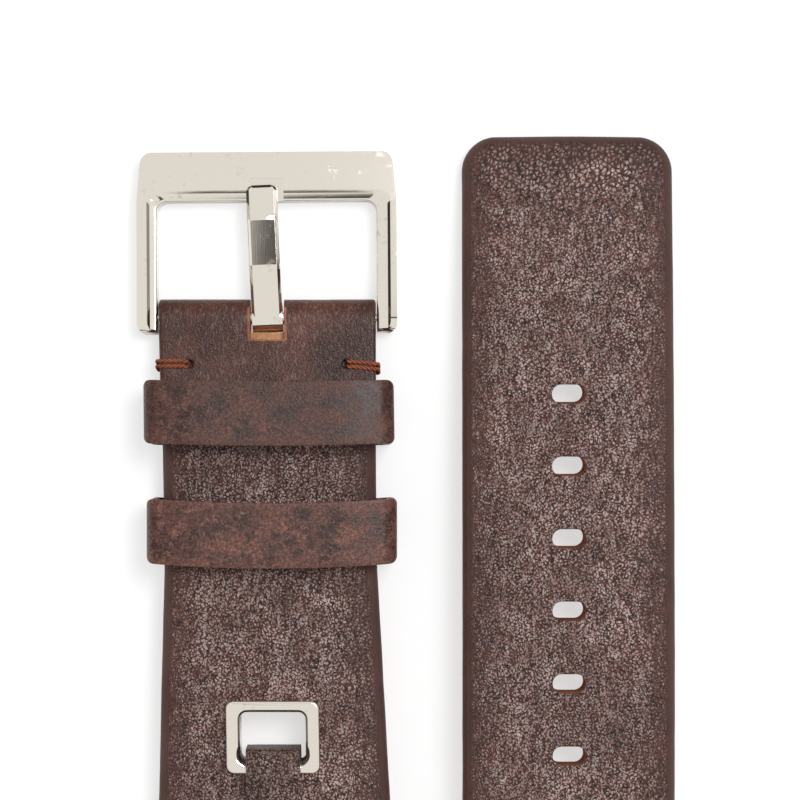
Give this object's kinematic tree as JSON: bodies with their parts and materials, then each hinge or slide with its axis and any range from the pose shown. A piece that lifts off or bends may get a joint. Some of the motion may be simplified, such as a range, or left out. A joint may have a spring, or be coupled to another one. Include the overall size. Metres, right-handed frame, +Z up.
{
  "type": "leather watch strap",
  "caption": "Two-piece padded leather watch strap with a tang buckle, fixed and sliding keepers, framed eyelets and leather lug strips.",
  "frame": {"origin": "middle of the whole strap's box, on the surface that both halves lie on", "axes": "+X from the short half to the long half, +Y from the lug ends to the tip and buckle, +Z up, out of the face leather"},
  "size_m": [0.061, 0.1222, 0.0104],
  "materials": {
    "brown_face_leather": "waxed, pebbled, semi-matt",
    "keeper_leather": "waxed, veined",
    "strip_leather": "waxed, smooth",
    "tan_lining_leather": "matt, undyed",
    "padding_felt": "pressed felt",
    "waxed_thread": "waxed linen",
    "nickel_plated_steel": "satin, warm",
    "bar_steel": "turned",
    "polished_nickel": "polished"
  },
  "bodies": {
    "short_half": {"short_upper_leather": "brown_face_leather", "short_filler": "padding_felt", "short_lining": "tan_lining_leather", "fold_liner": "tan_lining_leather", "fixed_keeper": "keeper_leather", "edge_stitches": "waxed_thread", "short_eyelet": "polished_nickel", "short_eyelet_back": "polished_nickel", "short_lug_strip": "strip_leather", "short_strip_stitches": "waxed_thread"},
    "buckle": {"buckle_frame": "nickel_plated_steel", "spring_bar_tube": "bar_steel", "spring_bar_spring": "bar_steel"},
    "tang": {"tang": "nickel_plated_steel"},
    "left_bar_tip": {"spring_bar_tip_left": "bar_steel"},
    "right_bar_tip": {"spring_bar_tip_right": "bar_steel"},
    "free_keeper": {"free_keeper": "keeper_leather"},
    "long_half": {"long_upper_leather": "brown_face_leather", "long_filler": "padding_felt", "long_lining": "tan_lining_leather", "long_eyelet": "polished_nickel", "long_eyelet_back": "polished_nickel", "long_lug_strip": "strip_leather", "long_strip_stitches": "waxed_thread"}
  },
  "joints": [
    {"name": "buckle_hinge", "type": "hinge", "parent": "short_half", "child": "buckle", "pos_m": [-0.0157, 0.0405, 0.00212], "axis": [1, 0, 0], "range_deg": [-80, 30]},
    {"name": "tang_hinge", "type": "hinge", "parent": "buckle", "child": "tang", "pos_m": [-0.0157, 0.0405, 0.00212], "axis": [1, 0, 0], "range_deg": [0, 68]},
    {"name": "left_tip_press", "type": "slide", "parent": "buckle", "child": "left_bar_tip", "axis": [1, 0, 0], "range_m": [0, 0.0011], "stiffness_N_per_m": 300, "springref_m": -0.002, "deforming": ["spring_bar_spring"]},
    {"name": "right_tip_press", "type": "slide", "parent": "buckle", "child": "right_bar_tip", "axis": [-1, 0, 0], "range_m": [0, 0.0011], "stiffness_N_per_m": 300, "springref_m": -0.002, "deforming": ["spring_bar_spring"]},
    {"name": "keeper_slide", "type": "slide", "parent": "short_half", "child": "free_keeper", "axis": [0, 1, 0], "range_m": [-0.012, 0.0055]},
    {"name": "long_half_lift", "type": "slide", "parent": "short_half", "child": "long_half", "axis": [0, 0, 1], "range_m": [0, 0.03]}
  ]
}
